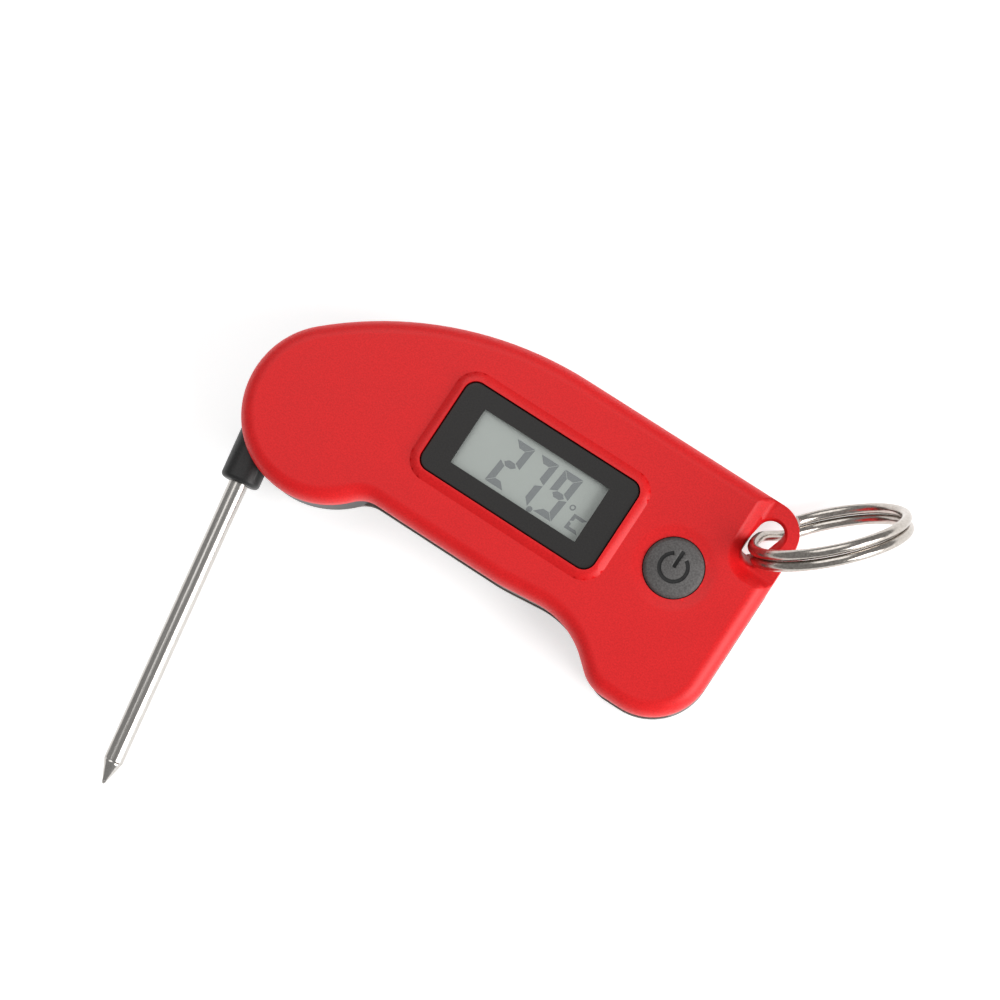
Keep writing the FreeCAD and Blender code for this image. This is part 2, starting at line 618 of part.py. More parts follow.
def battery_door():
    """Round door with a coin slot, a plug under it and two bayonet lugs."""
    edge_round = 0.3
    coin_slot_l, coin_slot_w, coin_slot_depth = 15.0, 1.8, 0.9
    disc = cylinder(DOOR_R, 0, DOOR_THICK, BATTERY_X, BATTERY_Y)
    disc = disc.makeFillet(edge_round, edges_at(disc, 0))
    disc = disc.cut(tube(SEAL_GROOVE_R, SEAL_GROOVE_HOLE_R, SEAL_GROOVE_FLOOR, DOOR_THICK + OVERCUT,
                         BATTERY_X, BATTERY_Y))
    plug = tube(DOOR_PLUG_R, DOOR_PLUG_R - WALL, SEAL_GROOVE_FLOOR, DOOR_PLUG_TOP, BATTERY_X, BATTERY_Y)
    door = joined(disc, plug)
    lugs = [ring_sector(LUG_R, DOOR_PLUG_R - 1.2, LUG_LOW, LUG_HIGH, angle, LUG_HALF, BATTERY_X, BATTERY_Y)
            for angle in (0, 180)]
    door = joined(door, *lugs)
    coin_slot = block_on(BATTERY_X, BATTERY_Y, coin_slot_l, coin_slot_w, -OVERCUT, coin_slot_depth)
    return one_solid(door.cut(coin_slot))


def battery_door_seal():
    return tube(SEAL_GROOVE_R - FIT, SEAL_GROOVE_HOLE_R + FIT, SEAL_GROOVE_FLOOR + FIT, DOOR_THICK,
                BATTERY_X, BATTERY_Y)


def board_wires():
    """Two thin wires from the board over the hub's edge to the pivot."""
    wires = []
    for index in range(2):
        y = WIRES_Y + index * WIRES_PITCH
        route = [Vector(WIRES_BOARD_X, y, BOARD_HIGH), Vector(WIRES_BOARD_X, y, WIRES_TOP),
                 Vector(WIRES_PIVOT_X, y, WIRES_TOP), Vector(WIRES_PIVOT_X, y, MIDDLE_TOP + 0.25)]
        wires.append(round_bar(route, BOARD_WIRE_R))
    return Part.makeCompound(wires)


# ---------------------------------------------------------------- fasteners and pivot
def screw(x, y, head_r, shank_r, head_low, tip):
    head = cylinder(head_r, head_low, HEAD_TOP, x, y)
    recess_l = head_r * 1.2
    recess_top = head_low + RECESS_DEPTH
    head = head.cut(block_on(x, y, recess_l, RECESS_W, head_low - OVERCUT, recess_top))
    head = head.cut(block_on(x, y, RECESS_W, recess_l, head_low - OVERCUT, recess_top))
    return joined(head, cylinder(shank_r, HEAD_TOP - 0.15, tip, x, y))


def housing_screws():
    return Part.makeCompound([screw(x, y, HEAD_R, SCREW_R, HEAD_LOW, SCREW_TIP) for x, y in SCREWS])


def pivot_screw():
    return screw(0, 0, PIVOT_HEAD_R, PIVOT_SCREW_R, PIVOT_HEAD_LOW, PIVOT_TIP)


def pivot_bush():
    return tube(BUSH_R, PIVOT_SCREW_R + FIT, BACK_TOP, MIDDLE_TOP)


def friction_washers():
    lift = 0.05
    washer_hole_r = BUSH_R + FIT
    low = tube(WASHER_R, washer_hole_r, BACK_TOP + lift, BACK_TOP + lift + WASHER_THICK)
    high = tube(WASHER_R, washer_hole_r, MIDDLE_TOP - lift - WASHER_THICK, MIDDLE_TOP - lift)
    return Part.makeCompound([low, high])


# ---------------------------------------------------------------- probe, drawn along +X at Y = 0
def to_rest(shape):
    """From the rod's own frame (axis along +X) to its place at rest beside the pivot."""
    placed = shape.copy()
    placed.translate(Vector(0, -ROD_OFFSET, 0))
    placed.rotate(Vector(0, 0, 0), Vector(0, 0, 1), REST_ANGLE)
    return placed


def along_rod(radius, start, end):
    return Part.makeCylinder(radius, end - start, Vector(start, 0, ROD_Z), Vector(1, 0, 0))


def probe_arm():
    """Hub disc that turns between the covers, with the collar that grips the rod."""
    low = BACK_TOP + HUB_GAP
    high = MIDDLE_TOP - HUB_GAP
    side_round, end_round = 3.3, 1.0
    collar = block(0, COLLAR_END, -COLLAR_HALF, COLLAR_HALF, low, high)
    long_edges = [edge for edge in collar.Edges if edge.BoundBox.XLength > 1]
    collar = collar.makeFillet(side_round, long_edges)
    end_edges = [edge for edge in collar.Edges if edge.BoundBox.XMin > COLLAR_END - 0.01]
    collar = collar.makeFillet(end_round, end_edges)
    arm = joined(cylinder(HUB_R, low, high), to_rest(collar))
    wire_way_r, riser_half = 1.2, 0.9
    bore = along_rod(ROD_HELD_R, ROD_START, COLLAR_END + OVERCUT)
    wire_way = along_rod(wire_way_r, RISER_X - 1.0, ROD_START + OVERCUT)
    riser = block(RISER_X - riser_half, RISER_X + riser_half, -riser_half, riser_half, ROD_Z, high - 1)
    cuts = [cylinder(BUSH_R + 0.05, 0, FACE), tube(POCKET_R, POCKET_CORE_R, high - POCKET_DEPTH, FACE)]
    washer_depth, groove_depth = 0.45, 0.9
    for level in (low, high):
        cuts.append(tube(WASHER_R + 0.2, BUSH_R - 0.5, level - washer_depth, level + washer_depth))
        cuts.append(tube(SEAL_R + FIT, SEAL_HOLE_R - FIT, level - groove_depth, level + groove_depth))
    cuts += [to_rest(bore), to_rest(wire_way), to_rest(riser)]
    for cut in cuts:
        arm = one_solid(arm.cut(cut))
    return arm


def hub_seals():
    low = tube(SEAL_R, SEAL_HOLE_R, BACK_TOP + FIT, BACK_TOP + FIT + SEAL_THICK)
    high = tube(SEAL_R, SEAL_HOLE_R, MIDDLE_TOP - FIT - SEAL_THICK, MIDDLE_TOP - FIT)
    return Part.makeCompound([low, high])


def probe_tube():
    shank = along_rod(ROD_R, COLLAR_END, TAPER_START)
    held_end = along_rod(ROD_HELD_R, ROD_START, COLLAR_END + OVERCUT)
    inside = along_rod(TUBE_BORE_R, ROD_START - OVERCUT, TAPER_START + OVERCUT)
    return to_rest(joined(shank, held_end).cut(inside))


def probe_tip():
    """Pointed plug that closes the tube, with a small blunt end."""
    nose_r = 0.35
    nose_x = TIP_END - nose_r
    cone_l = TAPER - 0.3
    cone = Part.makeCone(ROD_R, nose_r, cone_l, Vector(TAPER_START, 0, ROD_Z), Vector(1, 0, 0))
    nose = Part.makeSphere(nose_r, Vector(nose_x, 0, ROD_Z))
    spigot = along_rod(TUBE_BORE_R, TAPER_START - 2, TAPER_START)
    pocket = along_rod(BEAD_R + FIT, TAPER_START - 3, TAPER_START + 1.5)
    return to_rest(joined(cone, nose, spigot).cut(pocket))


def sensor_bead():
    start, end = TAPER_START - 0.9, TAPER_START + 1.3
    nose_x = end - BEAD_R
    nose = Part.makeSphere(BEAD_R, Vector(nose_x, 0, ROD_Z))
    return to_rest(joined(along_rod(BEAD_R, start, nose_x), nose))


def sensor_wires():
    """Two wires from the bead through the tube, up into the hub's pocket and round it as slack."""
    start = TAPER_START - 0.9
    loop_z = MIDDLE_TOP - 1.3
    loop_angle = -200
    pivot = Vector(0, ROD_OFFSET, loop_z)
    wires = []
    for side in (-1, 1):
        y = side * SENSOR_WIRE_Y
        top = Vector(RISER_X, y, loop_z)
        straight = round_bar([Vector(start, y, ROD_Z), Vector(RISER_X, y, ROD_Z), top], SENSOR_WIRE_R)
        along = Vector(0, 0, 1).cross(top - pivot)
        end_face = Part.Face(Part.Wire(Part.makeCircle(SENSOR_WIRE_R, top, along)))
        loop = end_face.revolve(pivot, Vector(0, 0, 1), loop_angle)
        wires.append(joined(straight, Part.makeSphere(SENSOR_WIRE_R, top), loop))
    return to_rest(Part.makeCompound(wires))


# ---------------------------------------------------------------- split ring
def split_ring():
    """Two flat turns of wire, side by side, with one step between them and two cut ends."""
    axis = RING_U.cross(RING_V)
    step_at = 228.0                # all three in degrees round the ring
    step_half = 20.0
    end_gap = 25.0
    point_count = 135
    points = []
    for index in range(point_count):
        turned = end_gap + (720 - 2 * end_gap) * index / (point_count - 1)
        progress = min(max((turned - 360 + step_half) / (2 * step_half), 0), 1)
        lift = TURN_LIFT * (2 * progress ** 2 * (3 - 2 * progress) - 1)
        phase = math.radians(step_at + turned)
        spoke = RING_U * math.cos(phase) + RING_V * math.sin(phase)
        points.append(RING_CENTRE + spoke * RING_R + axis * lift)
    curve = Part.BSplineCurve()
    curve.interpolate(points)
    path = Part.Wire([curve.toShape()])
    start = curve.tangent(curve.FirstParameter)[0]
    profile = Part.Wire([Part.makeCircle(WIRE_R, points[0], start)])
    return path.makePipeShell([profile], True, True)


PARTS = {
    "front_cover": front_cover,
    "back_cover": back_cover,
    "middle_frame": middle_frame,
    "display_bezel": display_bezel,
    "display_lens": display_lens,
    "lcd_panel": lcd_panel,
    "lcd_connector_strips": lcd_connector_strips,
    "circuit_board": circuit_board,
    "board_chip": board_chip,
    "board_wires": board_wires,
    "switch_body": switch_body,
    "switch_plunger": switch_plunger,
    "power_button": power_button,
    "battery": battery,
    "battery_contact_minus": battery_contact_minus,
    "battery_contact_plus": battery_contact_plus,
    "battery_door": battery_door,
    "battery_door_seal": battery_door_seal,
    "housing_screws": housing_screws,
    "pivot_screw": pivot_screw,
    "pivot_bush": pivot_bush,
    "friction_washers": friction_washers,
    "probe_arm": probe_arm,
    "hub_seals": hub_seals,
    "probe_tube": probe_tube,
    "probe_tip": probe_tip,
    "sensor_bead": sensor_bead,
    "sensor_wires": sensor_wires,
    "split_ring": split_ring,
}

os.makedirs("parts", exist_ok=True)
for name, make in PARTS.items():
    shape = make()
    if not shape.isValid():
        print("not valid:", name)
    print(f"{name:24s} solids {len(shape.Solids)}  volume {shape.Volume:9.1f}")
    shape.exportStep("parts/" + name + ".step")
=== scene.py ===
import math
import bmesh
import bpy
from mathutils import Matrix, Vector


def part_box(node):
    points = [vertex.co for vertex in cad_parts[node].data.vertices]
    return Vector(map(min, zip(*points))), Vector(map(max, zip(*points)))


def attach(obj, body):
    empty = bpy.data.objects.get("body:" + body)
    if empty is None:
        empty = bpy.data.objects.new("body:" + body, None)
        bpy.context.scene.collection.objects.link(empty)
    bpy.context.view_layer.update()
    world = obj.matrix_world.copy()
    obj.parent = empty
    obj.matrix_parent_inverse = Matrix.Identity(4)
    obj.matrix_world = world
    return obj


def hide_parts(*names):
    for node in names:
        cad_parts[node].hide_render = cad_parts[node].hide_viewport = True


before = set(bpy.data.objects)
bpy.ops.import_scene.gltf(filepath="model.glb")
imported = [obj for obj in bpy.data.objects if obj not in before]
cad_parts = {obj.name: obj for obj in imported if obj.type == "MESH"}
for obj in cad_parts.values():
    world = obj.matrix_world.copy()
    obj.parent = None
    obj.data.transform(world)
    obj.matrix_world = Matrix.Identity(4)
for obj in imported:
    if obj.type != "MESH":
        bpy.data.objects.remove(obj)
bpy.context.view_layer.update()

# ---- Back cover ----
# The lower half of the case, injection moulded in dark grey ABS. Its mould was spark eroded, which
# leaves an even fine grain all over, and its outer edges are rounded.
MM = 0.001


def linear(hex_colour):
    """An sRGB colour such as "8A7F79" as a linear red, green, blue and alpha."""
    channels = [int(hex_colour[place:place + 2], 16) / 255 for place in (0, 2, 4)]
    return [c / 12.92 if c <= 0.04045 else ((c + 0.055) / 1.055) ** 2.4 for c in channels] + [1.0]


def add_node(tree, kind, settings=None, links=None):
    """Adds a shader node, sets its properties and inputs by name, and links sockets to its inputs."""
    node = tree.nodes.new(kind)
    for name, value in (settings or {}).items():
        if name in node.inputs:
            node.inputs[name].default_value = value
        else:
            setattr(node, name, value)
    for name, socket in (links or {}).items():
        tree.links.new(socket, node.inputs[name])
    return node


def start_material(name):
    """An empty material, its node tree and its surface input."""
    material = bpy.data.materials.new(name)
    material.use_nodes = True
    tree = material.node_tree
    tree.nodes.clear()
    output = add_node(tree, "ShaderNodeOutputMaterial")
    return material, tree, output.inputs["Surface"]


def moulded_plastic(name, dark, light, roughness, grain_mm, relief_mm):
    """A moulded plastic: a slow drift of colour, and the fine grain of its mould's surface."""
    material, tree, surface = start_material(name)
    place = add_node(tree, "ShaderNodeTexCoord").outputs["Object"]
    drift_mm = 7.0
    drift_share = 0.18
    drift = add_node(tree, "ShaderNodeTexNoise", {"Scale": 1 / (drift_mm * MM), "Detail": 3.0},
                     {"Vector": place})
    grain = add_node(tree, "ShaderNodeTexNoise", {"Scale": 1 / (grain_mm * MM), "Detail": 2.0},
                     {"Vector": place})
    tone = add_node(tree, "ShaderNodeMix", {"Factor": drift_share},
                    {"A": grain.outputs["Fac"], "B": drift.outputs["Fac"]})
    # noise keeps near its middle value, so its usual range is widened to the whole of the ramp
    spread = add_node(tree, "ShaderNodeMapRange", {"From Min": 0.35, "From Max": 0.65},
                      {"Value": tone.outputs["Result"]})
    ramp = add_node(tree, "ShaderNodeValToRGB", {}, {"Fac": spread.outputs["Result"]})
    ramp.color_ramp.elements[0].color = linear(dark)
    ramp.color_ramp.elements[1].color = linear(light)
    gloss = add_node(tree, "ShaderNodeMapRange",
                     {"To Min": roughness - 0.05, "To Max": roughness + 0.06},
                     {"Value": drift.outputs["Fac"]})
    bump = add_node(tree, "ShaderNodeBump", {"Strength": 0.7, "Distance": relief_mm * MM},
                    {"Height": grain.outputs["Fac"]})
    shader = add_node(tree, "ShaderNodeBsdfPrincipled", {"IOR": 1.53, "Specular IOR Level": 0.35},
                      {"Base Color": ramp.outputs["Color"], "Roughness": gloss.outputs["Result"],
                       "Normal": bump.outputs["Normal"]})
    tree.links.new(shader.outputs["BSDF"], surface)
    return material


def finished_copy(node, name, body):
    """A copy of a CAD node with its triangles joined, smooth round its curves and flat elsewhere."""
    join_distance = 0.001 * MM
    smooth_below = math.radians(32)
    bpy.ops.object.select_all(action="DESELECT")
    piece = bpy.data.objects.new(name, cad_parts[node].data.copy())
    bpy.context.scene.collection.objects.link(piece)
    bpy.context.view_layer.objects.active = piece
    piece.select_set(True)
    bpy.ops.object.mode_set(mode="EDIT")
    bpy.ops.mesh.select_all(action="SELECT")
    bpy.ops.mesh.remove_doubles(threshold=join_distance)
    bpy.ops.object.mode_set(mode="OBJECT")
    bpy.ops.object.shade_smooth_by_angle(angle=smooth_below)
    weighted = piece.modifiers.new("flat faces stay flat", "WEIGHTED_NORMAL")
    weighted.keep_sharp = True
    bpy.ops.object.modifier_apply(modifier=weighted.name)
    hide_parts(node)
    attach(piece, body)
    return piece


def paint(piece, material):
    """Gives a piece one material, in place of whatever it had."""
    piece.data.materials.clear()
    piece.data.materials.append(material)


# Spark-eroded ABS: matt, warm grey, with a grain that just shows. The real grain is 0.1 mm and is
# drawn three times as coarse, so that it shows.
grey_abs = moulded_plastic("spark-eroded grey ABS", "5C5450", "766D68", 0.5, 0.3, 0.02)
back_cover = finished_copy("back_cover", "moulded_back_cover", "root")
paint(back_cover, grey_abs)

# ---- Battery door and its seal ----
# A round bayonet door of the same grey ABS, opened with a coin, with a black silicone ring pressed
# into the groove of its flange.
battery_door = finished_copy("battery_door", "moulded_battery_door", "door")
paint(battery_door, grey_abs)

# Moulded silicone: black, soft and almost matt, with the dust-fine surface of a polished mould.
black_silicone = moulded_plastic("moulded black silicone", "16161A", "222226", 0.62, 0.25, 0.008)
paint(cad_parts["battery_door_seal"], black_silicone)
paint(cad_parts["hub_seals"], black_silicone)

# ---- Battery and its contacts ----
# A coin cell in a pressed can of nickel-plated steel, between a leaf spring on its minus side and
# an upright strip on its rim, both of plated spring steel.

def lined_metal(name, dark, light, roughness, line_mm, stretch, turned=0.0, detail=4.0,
                relief=0.25, relief_mm=0.003):
    """A metal with the fine lines of its making, and a roughness that runs between two values.

    The pattern is turned about z, and a stretch below 1 then draws its lines out along x, y or z.
    """
    material, tree, surface = start_material(name)
    place = add_node(tree, "ShaderNodeTexCoord").outputs["Object"]
    along = add_node(tree, "ShaderNodeMapping", {"Rotation": (0.0, 0.0, turned)},
                     {"Vector": place})
    drawn = add_node(tree, "ShaderNodeMapping", {"Scale": stretch},
                     {"Vector": along.outputs["Vector"]})
    lines = add_node(tree, "ShaderNodeTexNoise", {"Scale": 1 / (line_mm * MM), "Detail": detail},
                     {"Vector": drawn.outputs["Vector"]})
    ramp = add_node(tree, "ShaderNodeValToRGB", {}, {"Fac": lines.outputs["Fac"]})
    ramp.color_ramp.elements[0].position = 0.3
    ramp.color_ramp.elements[0].color = linear(dark)
    ramp.color_ramp.elements[1].position = 0.7
    ramp.color_ramp.elements[1].color = linear(light)
    gloss = add_node(tree, "ShaderNodeMapRange", {"To Min": roughness[0], "To Max": roughness[1]},
                     {"Value": lines.outputs["Fac"]})
    bump = add_node(tree, "ShaderNodeBump", {"Strength": relief, "Distance": relief_mm * MM},
                    {"Height": lines.outputs["Fac"]})
    shader = add_node(tree, "ShaderNodeBsdfPrincipled", {"Metallic": 1.0},
                      {"Base Color": ramp.outputs["Color"], "Roughness": gloss.outputs["Result"],
                       "Normal": bump.outputs["Normal"]})
    tree.links.new(shader.outputs["BSDF"], surface)
    return material


nickel = lined_metal("nickel-plated steel", "A9A59E", "C4C0B8", (0.24, 0.38), 0.2,
                     (0.08, 1.0, 1.0))
for node in ("battery", "battery_contact_minus", "battery_contact_plus"):
    paint(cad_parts[node], nickel)

# ---- Middle frame ----
# The grey band between the covers, moulded in the same ABS as the back. It carries the board and
# has the slot that the folded probe's tip goes into.
middle_frame = finished_copy("middle_frame", "moulded_middle_frame", "root")
paint(middle_frame, grey_abs)

# ---- Circuit board, chip, switch and wires ----
# A glass-fibre board under green solder mask, with a chip and a switch soldered on it, both in
# black moulding compound, a nylon plunger, and thin insulated wires to the pivot.
material, tree, surface = start_material("green solder mask")
place = add_node(tree, "ShaderNodeTexCoord").outputs["Object"]
track_pitch_mm = 1.6
track_width = 0.12
# solder mask over copper tracks, which show as paler lines
tracks = add_node(tree, "ShaderNodeTexBrick",
                  {"Scale": 1 / (track_pitch_mm * MM), "Mortar Size": track_width,
                   "Color1": linear("0E5A2C"), "Color2": linear("116333"), "Mortar": linear("2B8A4C")},
                  {"Vector": place})
shader = add_node(tree, "ShaderNodeBsdfPrincipled", {"Roughness": 0.35, "IOR": 1.55},
                  {"Base Color": tracks.outputs["Color"]})
tree.links.new(shader.outputs["BSDF"], surface)
paint(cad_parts["circuit_board"], material)

black_compound = moulded_plastic("black moulding compound", "161616", "232323", 0.55, 0.2, 0.01)
nylon = moulded_plastic("moulded natural nylon", "CFC8B8", "DAD4C6", 0.45, 0.3, 0.006)
wire_skin = moulded_plastic("extruded wire insulation", "9A8C72", "B0A184", 0.4, 0.5, 0.004)
display_rubber = moulded_plastic("conductive silicone strip", "1A1A1E", "2A2A30", 0.6, 0.15, 0.006)
for node, finish in {"board_chip": black_compound, "switch_body": black_compound,
                     "switch_plunger": nylon, "board_wires": wire_skin,
                     "lcd_connector_strips": display_rubber}.items():
    paint(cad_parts[node], finish)

# ---- Screws, pivot bush and friction washers ----
# Zinc-plated steel screws with cross recesses, a turned brass bush over the pivot screw, and two
# nylon washers that give the probe its drag.
zinc = lined_metal("zinc-plated steel", "8E8F92", "A9AAAE", (0.28, 0.42), 0.25, (1.0, 0.2, 1.0))
paint(finished_copy("housing_screws", "plated_housing_screws", "root"), zinc)
paint(finished_copy("pivot_screw", "plated_pivot_screw", "root"), zinc)
brass = lined_metal("turned brass", "A8843C", "C9A454", (0.22, 0.36), 0.15, (1.0, 1.0, 6.0))
paint(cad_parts["pivot_bush"], brass)
paint(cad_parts["friction_washers"], nylon)

# ---- Probe: hub and collar ----
# One black ABS moulding: the hub disc that turns between the covers and the collar that grips the
# rod. Spark eroded like the case, and a little glossier where hands have rubbed it.
black_abs = moulded_plastic("spark-eroded black ABS", "202020", "2C2C2C", 0.42, 0.3, 0.015)
paint(finished_copy("probe_arm", "moulded_probe_arm", "probe"), black_abs)

# ---- Probe: rod, tip, bead and wires ----
# A drawn stainless tube with a welded and ground tip. Drawing leaves fine lines along it. The
# sensor's epoxy bead sits in the tip, and its wires run back through the tube.
rod_low, rod_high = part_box("probe_tube")
rod_direction = math.atan2(rod_low.y - rod_high.y, rod_high.x - rod_low.x)
stainless = lined_metal("drawn stainless steel", "B9B5B0", "D2CFCB", (0.17, 0.27), 0.12,
                        (0.01, 1.0, 1.0), turned=-rod_direction, detail=3.0, relief=0.2,
                        relief_mm=0.002)
paint(finished_copy("probe_tube", "drawn_probe_tube", "probe"), stainless)
paint(finished_copy("probe_tip", "ground_probe_tip", "probe"), stainless)
epoxy = moulded_plastic("brown epoxy bead", "3A2018", "4C2A20", 0.3, 0.4, 0.004)
paint(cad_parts["sensor_bead"], epoxy)
paint(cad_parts["sensor_wires"], wire_skin)

# ---- Display panel and its digits ----
# A reflective liquid-crystal panel: grey-green glass with dark slanted figures. The figures are
# seven-bar ones with pointed bars, as thin as the layer of crystal that they stand for.
material, tree, surface = start_material("reflective display glass")
place = add_node(tree, "ShaderNodeTexCoord").outputs["Object"]
fleck_mm = 0.25
flecks = add_node(tree, "ShaderNodeTexNoise", {"Scale": 1 / (fleck_mm * MM), "Detail": 2.0},
                  {"Vector": place})
ramp = add_node(tree, "ShaderNodeValToRGB", {}, {"Fac": flecks.outputs["Fac"]})
ramp.color_ramp.elements[0].color = linear("A3AAA4")
ramp.color_ramp.elements[1].color = linear("B1B8B2")
shader = add_node(tree, "ShaderNodeBsdfPrincipled", {"Roughness": 0.32, "IOR": 1.52},
                  {"Base Color": ramp.outputs["Color"]})
tree.links.new(shader.outputs["BSDF"], surface)
paint(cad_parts["lcd_panel"], material)

# the figures' sizes, and where the first one's lower left corner is
panel_low, panel_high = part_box("lcd_panel")
figure_height = 10.25 * MM
figure_width = 4.25 * MM
figure_pitch = 5.68 * MM
stroke_width = 1.4 * MM
bar_gap = 0.08 * MM
figure_slant = math.tan(math.radians(5.8))
crystal_thickness = 0.03 * MM
above_glass = 0.002 * MM
first_figure = Vector((33.4 * MM, 5.55 * MM, panel_high.z + above_glass))
figure_parts = []


def display_bar(length, stroke, gap, near_cut, far_cut, corner, turned):
    """A flat bar whose inner edge is cut back at each end, laid from a corner of its figure."""
    bpy.ops.object.select_all(action="DESELECT")
    bpy.ops.mesh.primitive_plane_add(size=1, location=(0, 0, 0))
    bar = bpy.context.object
    bpy.ops.object.mode_set(mode="EDIT")
    bpy.ops.transform.resize(value=(length - 2 * gap, stroke, 1))
    bpy.ops.transform.translate(value=(length / 2, -stroke / 2, 0))
    for side, cut in ((-1, near_cut), (1, far_cut)):
        mesh = bmesh.from_edit_mesh(bar.data)
        for vertex in mesh.verts:
            on_side = (vertex.co.x - length / 2) * side > 0
            vertex.select = on_side and vertex.co.y < -stroke / 2
        bmesh.update_edit_mesh(bar.data)
        bpy.ops.transform.translate(value=(-side * cut, 0, 0))
    bpy.ops.object.mode_set(mode="OBJECT")
    turn = Matrix.Rotation(math.radians(turned), 4, "Z")
    bar.data.transform(Matrix.Translation((corner[0], corner[1], 0)) @ turn)
    figure_parts.append(bar)


def figure(lit, left, base, width, height, stroke, gap):
    """The lit bars of one seven-bar figure, whose lower left corner is at (left, base)."""
    right, top, waist = left + width, base + height, base + height / 2
    half, point = height / 2, stroke / 2
    near, far = left + point, right - point
    bars = {"top": (width, stroke, gap, stroke, stroke, (left, top), 0),
            "upper right": (half, stroke, gap, stroke, point, (right, top), -90),
            "lower right": (half, stroke, gap, point, stroke, (right, waist), -90),
            "bottom": (width, stroke, gap, stroke, stroke, (right, base), 180),
            "lower left": (half, stroke, gap, stroke, point, (left, base), 90),
            "upper left": (half, stroke, gap, point, stroke, (left, waist), 90),
            "middle, lower half": (far - near, point, gap, point, point, (near, waist), 0),
            "middle, upper half": (far - near, point, gap, point, point, (far, waist), 180)}
    for name, bar in bars.items():
        if name.split(",")[0] in lit:
            display_bar(*bar)


def round_mark(radius, hole_radius, x, y):
    """A flat disc, or a ring if it has a hole."""
    bpy.ops.object.select_all(action="DESELECT")
    bpy.ops.mesh.primitive_circle_add(vertices=72, radius=radius, fill_type="NGON",
                                      location=(x, y, 0))
    if hole_radius:
        bpy.ops.object.mode_set(mode="EDIT")
        bpy.ops.mesh.select_all(action="SELECT")
        bpy.ops.mesh.inset(thickness=radius - hole_radius)
        bpy.ops.mesh.delete(type="FACE")
        bpy.ops.object.mode_set(mode="OBJECT")
    return bpy.context.object


def thin_flat_layer(parts, name, place, thickness):
    """Flat parts drawn at z = 0, joined, set in their place and given a thickness upwards."""
    bpy.ops.object.select_all(action="DESELECT")
    for part in parts:
        part.select_set(True)
    layer = parts[0]
    bpy.context.view_layer.objects.active = layer
    bpy.ops.object.transform_apply(location=True, rotation=True, scale=True)
    bpy.ops.object.join()
    layer.name = name
    layer.data.transform(place)
    thick = layer.modifiers.new("thickness", "SOLIDIFY")
    thick.thickness = thickness
    thick.offset = 1.0
    bpy.ops.object.modifier_apply(modifier=thick.name)
    return layer


two = ("top", "upper right", "middle", "lower left", "bottom")
seven = ("top", "upper right", "lower right")
nine = ("top", "upper left", "upper right", "middle", "lower right", "bottom")
for position, lit in enumerate((two, seven, nine)):
    figure(lit, position * figure_pitch, 0, figure_width, figure_height, stroke_width, bar_gap)
decimal_point = round_mark(0.6 * MM, 0, 10.7 * MM, -0.15 * MM)
degree_ring = round_mark(0.62 * MM, 0.34 * MM, 17.25 * MM, 4.7 * MM)
figure_parts += [decimal_point, degree_ring]
# the small unit letter, of thin bars
figure(("top", "upper left", "lower left", "bottom"), left=18.3 * MM, base=0.5 * MM, width=3.0 * MM,
       height=3.4 * MM, stroke=0.7 * MM, gap=0.01 * MM)
slant = Matrix.Identity(4)
slant[0][1] = figure_slant
display_figures = thin_flat_layer(figure_parts, "display_figures",
                                Matrix.Translation(first_figure) @ slant, crystal_thickness)
crystal = moulded_plastic("dark liquid crystal", "585E62", "606669", 0.4, 0.3, 0.001)
paint(display_figures, crystal)
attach(display_figures, "root")

# ---- Display lens ----
# A clear acrylic window, cut from polished sheet. It is almost unseen but for its reflections.
material, tree, surface = start_material("clear acrylic sheet")
place = add_node(tree, "ShaderNodeTexCoord").outputs["Object"]
haze_mm = 9.0
haze = add_node(tree, "ShaderNodeTexNoise", {"Scale": 1 / (haze_mm * MM), "Detail": 2.0},
                {"Vector": place})
gloss = add_node(tree, "ShaderNodeMapRange", {"To Min": 0.03, "To Max": 0.08},
                 {"Value": haze.outputs["Fac"]})
shader = add_node(tree, "ShaderNodeBsdfPrincipled",
                  {"Base Color": linear("E8ECEA"), "IOR": 1.49, "Alpha": 0.12},
                  {"Roughness": gloss.outputs["Result"]})
tree.links.new(shader.outputs["BSDF"], surface)
paint(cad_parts["display_lens"], material)

# ---- Display bezel ----
# A charcoal frame round the window, moulded in a smoother satin plastic than the case.
charcoal = moulded_plastic("satin charcoal plastic", "201E1D", "2A2827", 0.45, 0.3, 0.01)
paint(finished_copy("display_bezel", "moulded_display_bezel", "root"), charcoal)

# ---- Power button ----
# A domed button of grey silicone rubber with the power sign sunk into it. The sign's floor is
# painted near-black as painted shade for the sunk groove. The rubber's grain is that of a blasted
# mould.
grey_rubber = moulded_plastic("blasted grey silicone", "514F4E", "696766", 0.6, 0.35, 0.03)
paint(finished_copy("power_button", "moulded_power_button", "button"), grey_rubber)

# the painted shade lies on the floor of the sunk sign, just short of its sides
button_low, button_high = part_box("power_button")
sign_radius = 2.8 * MM
sign_stroke = 0.72 * MM
sign_reach = 3.65 * MM
sign_depth = 0.44 * MM
sign_gap_half = math.radians(30)
shade_sheet_thickness = 0.03 * MM

sign_arc = round_mark(sign_radius + sign_stroke / 2, sign_radius - sign_stroke / 2, 0, 0)
bpy.ops.object.mode_set(mode="EDIT")
bpy.ops.mesh.select_mode(type="FACE")
mesh = bmesh.from_edit_mesh(sign_arc.data)
for face in mesh.faces:
    middle = face.calc_center_median()
    face.select = abs(math.atan2(middle.x, middle.y)) < sign_gap_half
bmesh.update_edit_mesh(sign_arc.data)
bpy.ops.mesh.delete(type="FACE")
bpy.ops.mesh.select_mode(type="VERT")
bpy.ops.object.mode_set(mode="OBJECT")

bpy.ops.mesh.primitive_plane_add(size=1, location=(0, 0, 0))
sign_line = bpy.context.object
bpy.ops.object.mode_set(mode="EDIT")
bpy.ops.transform.resize(value=(sign_stroke, sign_reach, 1))
bpy.ops.transform.translate(value=(0, sign_reach / 2, 0))
bpy.ops.object.mode_set(mode="OBJECT")

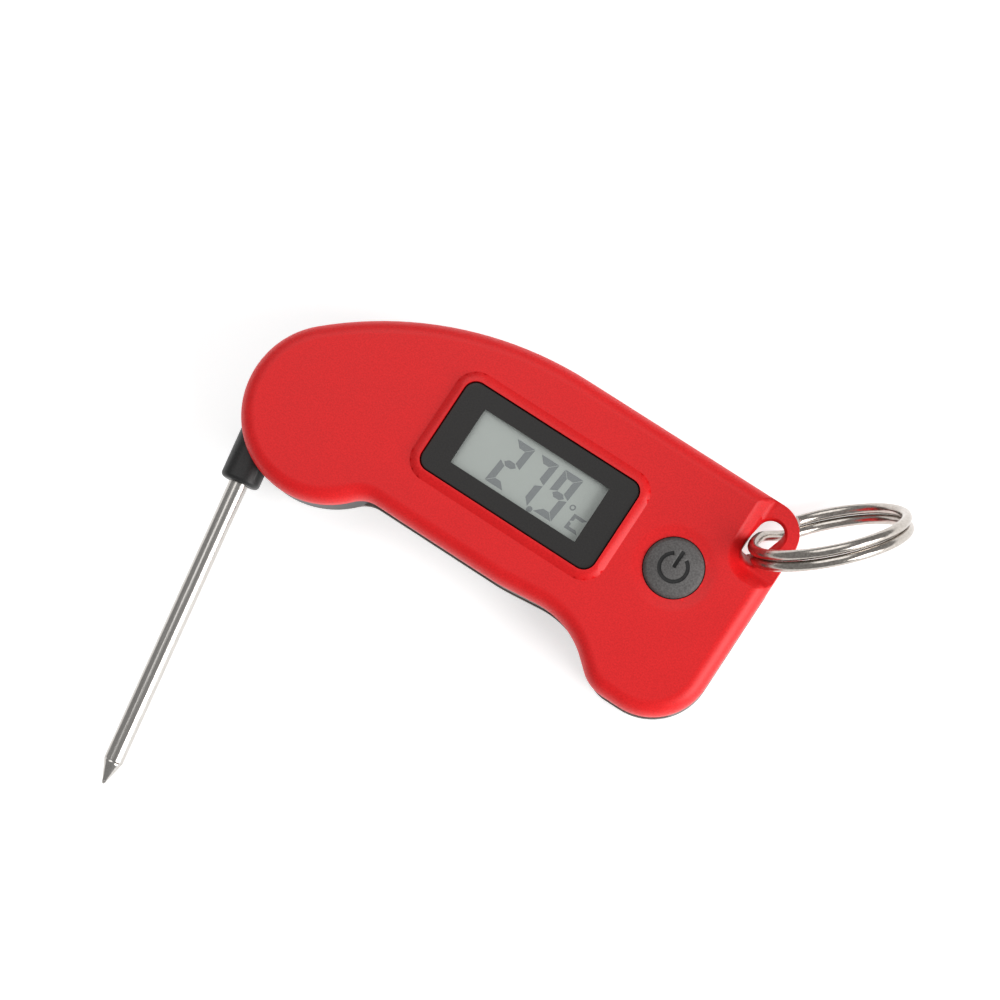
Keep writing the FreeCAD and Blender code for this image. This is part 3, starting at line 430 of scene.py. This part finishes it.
button_middle = (button_low + button_high) / 2
sign_place = Matrix.Translation((button_middle.x, button_middle.y, button_high.z - sign_depth))
power_sign = thin_flat_layer([sign_arc, sign_line], "power_sign_painted_shade", sign_place, shade_sheet_thickness)
# painted shade: a near-black sheet standing for the shade inside the sunk sign
sign_shade = moulded_plastic("near-black painted shade of the sunk sign", "262626", "303030", 0.7, 0.2, 0.005)
paint(power_sign, sign_shade)
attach(power_sign, "button")

# ---- Front cover ----
# The upper half of the case, moulded in red ABS, with a raised lip round the display, a shallow
# dish round the button and the ear's tongue, which is the same moulding.
red_abs = moulded_plastic("spark-eroded red ABS", "DC0F14", "F01B1E", 0.45, 0.32, 0.03)
paint(finished_copy("front_cover", "moulded_front_cover", "root"), red_abs)

# ---- Split ring ----
# Spring steel wire wound into two flat turns, plated with nickel and tumbled bright, hooked
# through the ear's slot.
bright_nickel = lined_metal("tumbled nickel-plated wire", "A8A19A", "C2BCB5", (0.14, 0.28), 0.5,
                            (1.0, 1.0, 1.0))
paint(finished_copy("split_ring", "wound_split_ring", "ring"), bright_nickel)

# ---- Floor, lights and camera ----
# A white sheet lit through from below, a soft light low on the right, a larger one above the far
# side, and a long lens looking almost straight down on the display.
floor_size = 4.0
floor_drop = 0.3 * MM
bpy.ops.object.select_all(action="DESELECT")
bpy.ops.mesh.primitive_plane_add(size=floor_size, location=(0.04, 0.0, -floor_drop))
floor = bpy.context.object
floor.name = "floor"
material, tree, surface = start_material("white translucent sheet")
shader = add_node(tree, "ShaderNodeBsdfPrincipled",
                  {"Base Color": linear("FAFAFA"), "Roughness": 0.9,
                   "Emission Color": linear("FFFFFF"), "Emission Strength": 0.5})
tree.links.new(shader.outputs["BSDF"], surface)
floor.data.materials.append(material)

# the view's directions to the right and back to the camera, and the point that it looks at
view_right = Vector((0.8297, 0.5495, -0.0990)).normalized()
view_back = Vector((0.1607, -0.0652, 0.9848)).normalized()
view_up = view_back.cross(view_right).normalized()
view_target = Vector((38.4, 3.7, 17.0)) * MM


def soft_light(name, direction, distance, size, power):
    """A square soft light that looks at the thermometer from a direction."""
    data = bpy.data.lights.new(name, "AREA")
    data.shape = "SQUARE"
    data.size = size
    data.energy = power
    light = bpy.data.objects.new(name, data)
    bpy.context.scene.collection.objects.link(light)
    light.location = view_target + direction.normalized() * distance
    light.rotation_euler = (-direction).to_track_quat("-Z", "Y").to_euler()


soft_light("key light", view_right * 0.9 - view_up * 0.5 + view_back * 0.7,
           distance=0.9, size=0.6, power=7.5)
soft_light("top light", view_up * 0.9 - view_right * 0.3 + view_back * 1.1,
           distance=1.2, size=0.9, power=4.2)
world = bpy.data.worlds.new("pale room")
world.use_nodes = True
background = world.node_tree.nodes["Background"]
background.inputs["Color"].default_value = (0.9, 0.9, 0.9, 1.0)
background.inputs["Strength"].default_value = 0.36
bpy.context.scene.world = world

camera_data = bpy.data.cameras.new("camera")
camera_data.lens = 135
camera_data.sensor_width = 36
camera = bpy.data.objects.new("camera", camera_data)
bpy.context.scene.collection.objects.link(camera)
view_width = 196.1 * MM
view_distance = view_width * camera_data.lens / camera_data.sensor_width
camera.matrix_world = Matrix.Translation(view_target + view_back * view_distance) @ Matrix(
    (view_right, view_up, view_back)).transposed().to_4x4()
bpy.context.scene.camera = camera
bpy.context.scene.view_settings.view_transform = "Standard"
